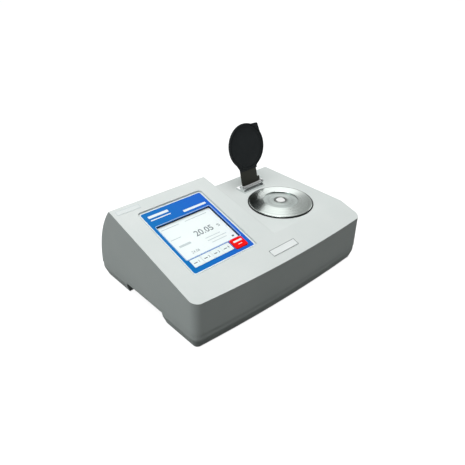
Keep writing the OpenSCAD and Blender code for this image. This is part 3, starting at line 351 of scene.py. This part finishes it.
def hand_over(mesh, node, name, body, slot, finish=None):
    for face in mesh.faces:
        face.smooth = True
    for edge in mesh.edges:
        edge.smooth = len(edge.link_faces) == 2 and edge.calc_face_angle(0.0) < CREASE
    data = bpy.data.meshes.new(name)
    mesh.to_mesh(data)
    mesh.free()
    data.materials.append(finish or finishes[slot])
    made = put_in_scene(name, data)
    even = made.modifiers.new("even_shading", "WEIGHTED_NORMAL")
    even.keep_sharp = True
    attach(made, body)
    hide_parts(node)
    print(name, len(data.polygons), "faces")
    return made


print("crease", round(math.degrees(CREASE)), "degrees")

# %% [markdown]
# ## Slope of the console
# The screen, its film and both plates lie on one slope. A matrix turns a place on that
# slope into a place in the frame, so that print is laid out flat: u to the right, v up
# the slope, w out of it. Its zero lies over the middle of the film, level with the paint.

# %% Slope of the console
SLOPE = math.radians(15.7)
FILM_SUNK = 2.8
low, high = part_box("display_panel")
film_mid = (low + high) / 2
tilt = Matrix.Rotation(SLOPE, 4, "X")
on_slope = Matrix.Translation(film_mid - tilt @ Vector((0, 0, -FILM_SUNK * MM))) @ tilt
off_slope = on_slope.inverted()
print("slope origin", [round(c, 4) for c in on_slope.translation])

# %% [markdown]
# ## Top housing
# The big shell has a soft roll of about 4 mm all round its top and down its rear
# corners. Edges are picked by how their two faces lie: a top face against a wall. The
# recess of the film, the hole of the dish and the foot of the hinge keep their crisp
# edges, and so does the bay of the sockets at the rear.

# %% Outer roll of the housing
housing = copy_of("top_housing")
case_low, case_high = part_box("top_housing")
stage_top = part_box("dish_seal")[0].z
NEAR = 4 * MM
RECESS_HALF = (69 * MM, 80 * MM, 20 * MM)
DISH_REACH = 64 * MM
FOOT_HALF = 30 * MM
FOOT_FRONT = 50 * MM
FOOT_REAR = 90 * MM


def in_a_cut(at):
    in_recess = all(abs(c) < half for c, half in zip(off_slope @ at, RECESS_HALF))
    in_dish = (at - dish_axis).xy.length < DISH_REACH
    in_foot = (abs(at.x - dish_axis.x) < FOOT_HALF and FOOT_FRONT < at.y < FOOT_REAR
               and at.z < stage_top + NEAR)
    return in_recess or in_dish or in_foot


FRONT_LINE = -105 * MM
CONSOLE_REAR = 80 * MM
STAGE_REAR = 100 * MM


def on_outside(at):
    rear_line = CONSOLE_REAR if at.z > stage_top + 2 * MM else STAGE_REAR
    return abs(at.x) > case_high.x - NEAR or at.y < FRONT_LINE or at.y > rear_line


BAY_HALF = 170 * MM
BAY_BELOW = 12 * MM
FACING = 0.9
TILTED = 0.8


def outer_roll(edge):
    at = middle(edge)
    if not sharp(edge, 14.0) or in_a_cut(at) or at.z < case_low.z + NEAR or not on_outside(at):
        return False
    normals = [face.normal for face in edge.link_faces]
    least_up, most_up = sorted(n.z for n in normals)
    top_edge = most_up > FACING and least_up < TILTED
    rear = most_up < TILTED and any(n.y > 0.3 for n in normals)
    corner = rear and any(abs(n.x) > FACING for n in normals)
    inside_bay = at.z < stage_top - BAY_BELOW and abs(at.x) < BAY_HALF
    return (top_edge or corner) and not inside_bay


OUTER_ROLL = 3.6
rolled = [e for e in housing.edges if outer_roll(e)]
soften(housing, rolled, OUTER_ROLL, 6)
print(len(rolled), "edges rolled")

# %% [markdown]
# The step from the console down to the stage runs out to nothing at its front, so its
# edge gets a much smaller bevel of its own.

# %% Step beside the stage
STEP_HALF = 30 * MM
STEP_FRONT = -78 * MM
STEP_REAR = 82 * MM
STEP_ROLL = 1.2


def step_edge(edge):
    at = middle(edge)
    beside = abs(at.x) < STEP_HALF and STEP_FRONT < at.y < STEP_REAR
    above = at.z > stage_top + 0.5 * MM
    normals = [face.normal for face in edge.link_faces]
    meets = any(n.x > FACING for n in normals) and any(n.z > FACING for n in normals)
    return sharp(edge) and not in_a_cut(at) and beside and above and meets


stepped = [e for e in housing.edges if step_edge(e)]
print("step edges:", len(stepped))
soften(housing, stepped, STEP_ROLL, 3, clamp=False)
hand_over(housing, "top_housing", "housing_shell", "case", "case_paint")

# %% [markdown]
# ## Base tray
# The lower tray turns in towards the bench in one soft bend, so its shade fades down
# instead of breaking along a line. That bend is a shallow angle, and is bevelled wide.
# The bottom rim and the ends of the hand arch get a small roll.

# %% Base tray
tray = copy_of("base_tray")
tray_low, tray_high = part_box("base_tray")
TRAY_SIDE = tray_high.x - 9 * MM
TRAY_FRONT = -112 * MM
TRAY_REAR = 121 * MM
BEND_LOW = 14 * MM
BEND_HIGH = 20 * MM
BEND_ROLL = 3.0
RIM_TOP = tray_low.z + 0.6 * MM
RIM_ROLL = 1.2


def outer_and_level(edge):
    at = middle(edge)
    outer = abs(at.x) > TRAY_SIDE or at.y < TRAY_FRONT or at.y > TRAY_REAR
    return outer and abs(edge.verts[0].co.z - edge.verts[1].co.z) < 0.01 * MM


def shallow_bend(edge):
    return (len(edge.link_faces) == 2 and edge.is_convex and outer_and_level(edge)
            and BEND_LOW < middle(edge).z < BEND_HIGH
            and 8 < math.degrees(edge.calc_face_angle(0.0)) < 35)


def bottom_rim(edge):
    return sharp(edge, 40) and outer_and_level(edge) and middle(edge).z < RIM_TOP


bends = [e for e in tray.edges if shallow_bend(e)]
soften(tray, bends, BEND_ROLL, 4)
rims = [e for e in tray.edges if bottom_rim(e)]
soften(tray, rims, RIM_ROLL, 3)
print(len(bends), "bend edges and", len(rims), "rim edges")
hand_over(tray, "base_tray", "tray_skin", "case", "case_paint")

# %% [markdown]
# ## Lid, hinge and plates
# The lid is a thick black moulding with a small rounded lip, the arm a pressed plate,
# and the bracket is polished stainless. Their solids are right, so only their edges
# are eased, by a fraction of a millimetre, which is what catches the light. The table
# gives each new piece's name, body and slot, then the bevel's size, its segments and
# the least angle that it takes.
#
# Two pieces have a second finish. The arm's barrel is left bright, as the bracket is,
# while its plate is bronzed dark, and the film is white where it was cut.

# %% Eased edges on small pieces
eased = {
    "lid_disc": ("lid_moulding", "lid", "lid_black", 0.6, 3, 40),
    "lid_arm": ("lid_plate", "lid", "arm_steel", 0.35, 2, 40),
    "hinge_bracket": ("hinge_ears", "case", "hinge_steel", 0.4, 2, 40),
    "start_key": ("start_cap", "start_key", "start_key", 0.35, 3, 30),
    "name_plate": ("front_plate", "case", "plates", 0.15, 2, 40),
    "model_plate": ("rear_plate", "case", "plates", 0.1, 2, 40),
    "display_panel": ("panel_film", "case", "panel_print", 0.25, 2, 50),
}
grey_film, tree, shader, place = start("pale_grey_label_film", "#e0e4e4", 0.32)
grain(tree, shader, place, 1.1, 0.004)
low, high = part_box("hinge_pin")
pin_axis = (low + high) / 2
BARREL_RADIUS = 3.9 * MM
FILM_HALF = (59 * MM, 70 * MM)


def on_barrel(face):
    return (face.calc_center_median() - pin_axis).yz.length < BARREL_RADIUS


def on_film_cut(face):
    at = off_slope @ face.calc_center_median()
    by_the_rim = any(abs(c) > half for c, half in zip(at, FILM_HALF))
    return by_the_rim and (off_slope.to_3x3() @ face.normal).z < 0.99


second = {"lid_arm": (on_barrel, "hinge_steel"), "display_panel": (on_film_cut, "soft_keys")}
for node, (name, body, slot, size, segments, least) in eased.items():
    piece = copy_of(node)
    soften(piece, [e for e in piece.edges if sharp(e, least)], size, segments)
    if node in second:
        for face in piece.faces:
            face.material_index = int(second[node][0](face))
    made = hand_over(piece, node, name, body, slot, grey_film if node == "model_plate" else None)
    if node in second:
        made.data.materials.append(finishes[second[node][1]])

# %% [markdown]
# ## Floor of the sample well
# The steel floor round the prism is turned a little lower at its rim than at the prism,
# so that a spilt drop runs away from the glass, and its rim stands up as a short wall.
# A copy of the solid gets that shape: a few rings of its points move up or down by
# about a millimetre. The table gives each ring's radius and its move.

# %% Sample well
well = copy_of("sample_well")
well_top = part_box("sample_well")[1].z
ring_moves = ((12.05, 1.05), (28.0, -0.7), (29.5, -0.55))
RING_REACH = 0.7
TOP_BAND = 1.0
for point in well.verts:
    radius = (point.co - dish_axis).xy.length / MM
    if point.co.z > well_top - TOP_BAND * MM:
        point.co.z += MM * sum(move for ring, move in ring_moves if abs(radius - ring) < RING_REACH)
well.normal_update()
# The well floor takes the darker steel, whose colour is painted shade in the well.
hand_over(well, "sample_well", "well_floor", "case", "dish_steel", finishes["well_steel"])

# %% [markdown]
# ## Print
# Each print is a thin flat piece: a loop of vertices with round corners, filled, or
# bridged to a second loop where it is a frame, then extruded by a hair and set on the
# slope. A place gives the middle, width and length in millimetres along u and v, and
# the height w of the surface that carries it.

# %% Print helpers
PRINT_THICK = 0.12
CORNER_STEPS = 8


def rounded(width, length, radius):
    loop = []
    for sx, sy, turn in ((1, 1, 0), (-1, 1, 90), (-1, -1, 180), (1, -1, 270)):
        for n in range(CORNER_STEPS + 1):
            angle = math.radians(turn + 90 * n / CORNER_STEPS)
            loop.append(((sx * (width / 2 - radius) + radius * math.cos(angle)) * MM,
                         (sy * (length / 2 - radius) + radius * math.sin(angle)) * MM))
    return loop


def outline(mesh, width, length, radius):
    points = [mesh.verts.new((x, y, 0)) for x, y in rounded(width, length, radius)]
    return points, [mesh.edges.new((a, b)) for a, b in zip(points, points[1:] + points[:1])]


def printed(name, body, ink, places, w, ring=0.0, radius=0.6):
    mesh = bmesh.new()
    for u, v, width, length in places:
        points, edges = outline(mesh, width, length, radius)
        if ring:
            inner, more = outline(mesh, width - 2 * ring, length - 2 * ring, max(radius - ring, 0.2))
            bmesh.ops.bridge_loops(mesh, edges=edges + more)
            points = points + inner
        else:
            mesh.faces.new(points)
        bmesh.ops.translate(mesh, verts=points, vec=(u * MM, v * MM, 0))
    raised = bmesh.ops.extrude_face_region(mesh, geom=mesh.faces[:])
    bmesh.ops.translate(mesh, vec=(0, 0, PRINT_THICK * MM),
                        verts=[g for g in raised["geom"] if isinstance(g, bmesh.types.BMVert)])
    bmesh.ops.recalc_face_normals(mesh, faces=mesh.faces)
    bmesh.ops.transform(mesh, matrix=on_slope @ Matrix.Translation((0, 0, w * MM)),
                        verts=mesh.verts)
    data = bpy.data.meshes.new(name)
    mesh.to_mesh(data)
    mesh.free()
    data.materials.append(inks[ink])
    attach(put_in_scene(name, data), body)


print("print is", PRINT_THICK, "mm thick")

# %% [markdown]
# ## Inks
# Screen ink is a thick matt coat, so each colour is plain, with a faint grain of 0.6 mm.
# The screen's own marks are drawn with inks too, in the greys that its segments show.

# %% Inks
ink_colours = {
    "white_screen_ink": ("#eef4f8", 0.42),
    "grey_screen_ink": ("#98a3a8", 0.5),
    "faint_screen_ink": ("#cdd6d9", 0.5),
    "figure_ink": ("#7c868b", 0.5),
    "dark_screen_ink": ("#4d565c", 0.5),
    "pale_blue_ink": ("#b9d2ee", 0.45),
}
inks = {}
for name, (colour, roughness) in ink_colours.items():
    inks[name], tree, shader, place = start(name, colour, roughness)
    grain(tree, shader, place, 0.6, 0.003)
print(len(inks), "inks")

# %% [markdown]
# ## Frames and bars
# The blue film has a white line round its edge, plain white bars in its head and a pale
# line round its window. The front plate has a dark line just outside it, and the rear
# plate a faint one. Both plates are found from their solids.

# %% Frames and bars
def plate_place(node, width, length):
    low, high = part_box(node)
    mid = off_slope @ ((low + high) / 2) / MM
    return mid.x, mid.y, width, length


FILM_TOP = -2.0
WINDOW_V = -3.4
printed("panel_border", "case", "white_screen_ink", [(0, 0, 122.8, 144.8)], FILM_TOP,
        ring=1.6, radius=4.9)
printed("head_bars", "case", "white_screen_ink",
        [(-33, 59.5, 38, 5.2), (-33, 51.8, 38, 2.0), (30, 45.6, 46, 4.6)], FILM_TOP, radius=0.9)
printed("window_border", "case", "pale_blue_ink", [(0, WINDOW_V, 109.6, 82.6)], FILM_TOP,
        ring=0.9, radius=2.6)
front_place = plate_place("name_plate", 56.6, 13.2)
rear_place = plate_place("model_plate", 42, 8.5)
printed("front_plate_line", "case", "dark_screen_ink", [front_place], w=0.6, ring=0.8)
printed("rear_plate_line", "case", "faint_screen_ink", [rear_place], w=0.4, ring=0.5)
print("front plate at", [round(c, 2) for c in front_place[:2]],
      "rear plate at", [round(c, 2) for c in rear_place[:2]])

# %% [markdown]
# ## Figures
# The screen shows a reading in grey figures, and each soft key has its number. They are
# set in the plain built-in type, swelled a little where they should look bold, and
# turned into a mesh before they are placed on the slope.

# %% Figure helper
def figures(name, body, text, u, v, size, w, ink, swell=0.0):
    curve = bpy.data.curves.new(name, "FONT")
    curve.body = text
    curve.size = size * MM
    curve.align_x = "CENTER"
    curve.align_y = "CENTER"
    curve.extrude = PRINT_THICK * MM / 2
    curve.offset = swell * MM
    curve.resolution_u = 3
    typed = put_in_scene(name + "_type", curve)
    bpy.context.view_layer.update()
    data = bpy.data.meshes.new_from_object(typed)
    bpy.data.objects.remove(typed)
    data.name = name
    data.transform(on_slope @ Matrix.Translation((u * MM, v * MM, (w + PRINT_THICK / 2) * MM)))
    data.materials.clear()
    data.materials.append(inks[ink])
    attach(put_in_scene(name, data), body)


print("figure helper ready")

# %% [markdown]
# ## What the screen shows
# A large reading with its unit stands right of the middle and a small one below it on
# the left. Short pale bars and one dark spot fill the places round them.

# %% Reading and bars
GLASS_TOP = -6.6
figures("reading", "case", "20.05", 12, -3, 16.5, GLASS_TOP, "figure_ink", swell=0.14)
figures("reading_unit", "case", "%", 41, -4, 8.5, GLASS_TOP, "figure_ink", swell=0.05)
figures("small_reading", "case", "24.06", -27, -32, 7.0, GLASS_TOP, "grey_screen_ink")
printed("screen_bars", "case", "faint_screen_ink",
        [(-31, 29, 34, 1.3), (20, 29, 44, 1.3), (-38, 4, 20, 1.2), (-33, -13, 22, 4.2),
         (18, -18, 30, 1.4), (22, -24, 38, 1.4), (22, -30, 30, 1.4)], GLASS_TOP, radius=0.5)
printed("screen_spot", "case", "dark_screen_ink", [(46, -35, 4.2, 3.0)], GLASS_TOP, radius=0.8)
print("screen drawn")

# %% [markdown]
# ## Marks on the keys
# The four soft keys share one strip under the window, with a slit between each two, and
# the start key stands at its right end. Each mark rides on its own key, so that it goes
# in with it.

# %% Marks on the keys
WINDOW_HALF = 40
STRIP_GAP = 2.4
KEY_HALF = 7.8
KEYS_V = WINDOW_V - WINDOW_HALF - STRIP_GAP - KEY_HALF
STRIP_U = -13
STRIP_WIDTH = 76.5
KEY_SLIT = 0.5
KEY_PITCH = (STRIP_WIDTH + KEY_SLIT) / 4
KEY_TOP = -1.9
for n in range(1, 5):
    u = STRIP_U + (n - 2.5) * KEY_PITCH
    body = "soft_key_%d" % n
    figures("key_figure_%d" % n, body, str(n), u + 3.5, KEYS_V, 6.2, KEY_TOP, "dark_screen_ink")
    printed("key_mark_%d" % n, body, "dark_screen_ink", [(u - 3.2, KEYS_V - 0.4, 6.4, 1.3)], KEY_TOP)

START_GAP = 2.2
START_HALF = 12.5
START_TOP = -0.6
start_u = STRIP_U + STRIP_WIDTH / 2 + START_GAP + START_HALF
printed("start_bar", "start_key", "white_screen_ink",
        [(start_u, KEYS_V + 2.2, 17, 3.4), (start_u, KEYS_V - 4.6, 8, 1.0)], START_TOP, radius=0.5)
print("keys marked, start key at", start_u, "mm")

# %% [markdown]
# ## Floor
# The object stands on a white bench. The bench looks white only to the camera and in
# reflections, by a glow that Light Path turns on for those rays. The light that it
# gives back to the case is weak, as from a grey bench, so the walls stay dim, and it
# still takes the object's shadow.

# %% Floor
mesh = bmesh.new()
bmesh.ops.create_grid(mesh, x_segments=1, y_segments=1, size=6.0)
data = bpy.data.meshes.new("bench_top")
mesh.to_mesh(data)
mesh.free()
bench = put_in_scene("bench_top", data)
finish, tree, shader, place = start("white_bench", "#ffffff", 0.9)
tree.nodes.remove(shader)
path = add(tree, "ShaderNodeLightPath")
seen = add(tree, "ShaderNodeMath", {"operation": "MAXIMUM"}, i0=path.outputs["Is Camera Ray"],
           i1=path.outputs["Is Glossy Ray"])
seen = add(tree, "ShaderNodeMath", {"operation": "MAXIMUM"}, i0=seen.outputs[0],
           i1=path.outputs["Is Transmission Ray"])
glow = add(tree, "ShaderNodeEmission", Color=(1, 1, 1, 1), Strength=0.92)
white = add(tree, "ShaderNodeBsdfDiffuse", Color=(0.30, 0.30, 0.30, 1))
bright = add(tree, "ShaderNodeAddShader", i0=glow.outputs[0], i1=white.outputs[0])
dim = add(tree, "ShaderNodeBsdfDiffuse", Color=(0.02, 0.022, 0.022, 1))
mix = add(tree, "ShaderNodeMixShader", i0=seen.outputs[0], i1=dim.outputs[0], i2=bright.outputs[0])
tree.links.new(mix.outputs[0], tree.nodes["Material Output"].inputs["Surface"])
data.materials.append(finish)
print("floor ready")

# %% [markdown]
# ## World
# The world does three things. The camera sees it plain white. As light it is a weak
# fill that fades towards the bench, so faces that lean in go darker. And polished metal
# mirrors a room: a white wall behind the object with darker sides, which is what draws
# the bright and dark sectors on the steel dish. That room is turned about 55 degrees, so
# its far wall is behind the object from where the camera stands. The table gives its
# grey from left to right, and a second ramp dims the part nearest to the camera.

# %% World
world = bpy.data.worlds.new("white_studio")
bpy.context.scene.world = world
world.use_nodes = True
tree = world.node_tree
path = add(tree, "ShaderNodeLightPath")
backdrop = tree.nodes["Background"]
backdrop.inputs["Color"].default_value = (1, 1, 1, 1)
backdrop.inputs["Strength"].default_value = 1.0
way = add(tree, "ShaderNodeTexCoord")
height = add(tree, "ShaderNodeSeparateXYZ", Vector=way.outputs["Generated"])
level = add(tree, "ShaderNodeMapRange", Value=height.outputs["Z"], From_Max=0.8, To_Min=0.0,
            To_Max=0.35)
fill = add(tree, "ShaderNodeBackground", Color=(0.92, 1.0, 0.96, 1),
           Strength=level.outputs["Result"])

TO_THE_RIGHT = (0.574, -0.819, 0)
room_greys = ((0.10, 0.9), (0.19, 0.11), (0.35, 0.2), (0.40, 0.9), (0.485, 1.0), (0.515, 0.22),
              (0.60, 0.3))
aside = add(tree, "ShaderNodeVectorMath", {"operation": "DOT_PRODUCT"}, i0=way.outputs["Generated"],
            i1=TO_THE_RIGHT)
room = add(tree, "ShaderNodeMapRange", Value=aside.outputs["Value"], From_Min=-1.0, From_Max=1.0)
wall = add(tree, "ShaderNodeValToRGB", Fac=room.outputs["Result"])
while len(wall.color_ramp.elements) < len(room_greys):
    wall.color_ramp.elements.new(0.5)
for stop, (at, grey) in zip(wall.color_ramp.elements, room_greys):
    stop.position = at
    stop.color = (grey, grey, grey, 1)

AWAY = (0.819, 0.574, 0)
ahead = add(tree, "ShaderNodeVectorMath", {"operation": "DOT_PRODUCT"}, i0=way.outputs["Generated"],
            i1=AWAY)
depth = add(tree, "ShaderNodeMapRange", Value=ahead.outputs["Value"], From_Min=-0.3, From_Max=0.3,
            To_Min=0.35, To_Max=1.6)
mirror = add(tree, "ShaderNodeBackground", Color=wall.outputs["Color"],
             Strength=depth.outputs["Result"])
shown = add(tree, "ShaderNodeMixShader", i0=path.outputs["Is Glossy Ray"], i1=fill.outputs[0],
            i2=mirror.outputs[0])
total = add(tree, "ShaderNodeMixShader", i0=path.outputs["Is Camera Ray"], i1=shown.outputs[0],
            i2=backdrop.outputs[0])
tree.links.new(total.outputs[0], tree.nodes["World Output"].inputs["Surface"])
print("world ready")

# %% [markdown]
# ## Lamps
# A large soft box hangs above and a little to the left, so the top is bright. A second
# one gives the left side about half that, with a cool tint, and a weak low one on the
# right keeps that side from going black. The front gets only what spills over.

# %% Lamps
def lamp(name, at, side, watts, tint=(1, 1, 1), aim=(0, 0, 0.1)):
    light = bpy.data.lights.new(name, "AREA")
    light.shape = "RECTANGLE"
    light.size = side
    light.size_y = side
    light.energy = watts
    light.color = tint
    made = put_in_scene(name, light)
    made.location = at
    made.rotation_euler = (Vector(aim) - Vector(at)).to_track_quat("-Z", "Y").to_euler()


lamp("overhead_box", (-0.3, -0.05, 1.7), side=1.3, watts=20.5)
lamp("left_box", (-1.6, 0.3, 1.1), side=0.9, watts=5.5, tint=(0.91, 1.0, 0.985))
lamp("right_box", (1.7, -0.2, 0.5), side=0.8, watts=3.2)
print("three lamps")

# %% [markdown]
# ## Camera
# The photo was taken from the front left and above. The camera's place, its turn round
# the object, its tilt down, its small roll and its lens were all fitted to the photo
# together with the case.

# %% Camera
CAMERA_AT = (-0.5165, -0.5562, 0.5404)
around = math.radians(42.52)
down = math.radians(31.8)
roll = math.radians(0.75)
view = bpy.data.cameras.new("photo_camera")
view.sensor_width = 36.0
view.lens = 40.07
view.clip_start = 0.01
view.clip_end = 50
camera = put_in_scene("photo_camera", view)
bpy.context.scene.camera = camera
forward = Vector((math.sin(around) * math.cos(down), math.cos(around) * math.cos(down),
                  -math.sin(down)))
level_right = forward.cross(Vector((0, 0, 1))).normalized()
level_up = level_right.cross(forward)
right = level_right * math.cos(roll) + level_up * math.sin(roll)
up = level_up * math.cos(roll) - level_right * math.sin(roll)
facing = Matrix((right, up, -forward)).transposed()
camera.matrix_world = Matrix.Translation(CAMERA_AT) @ facing.to_4x4()
bpy.context.scene.view_settings.view_transform = "Standard"
print("lens", round(view.lens, 2), "mm")
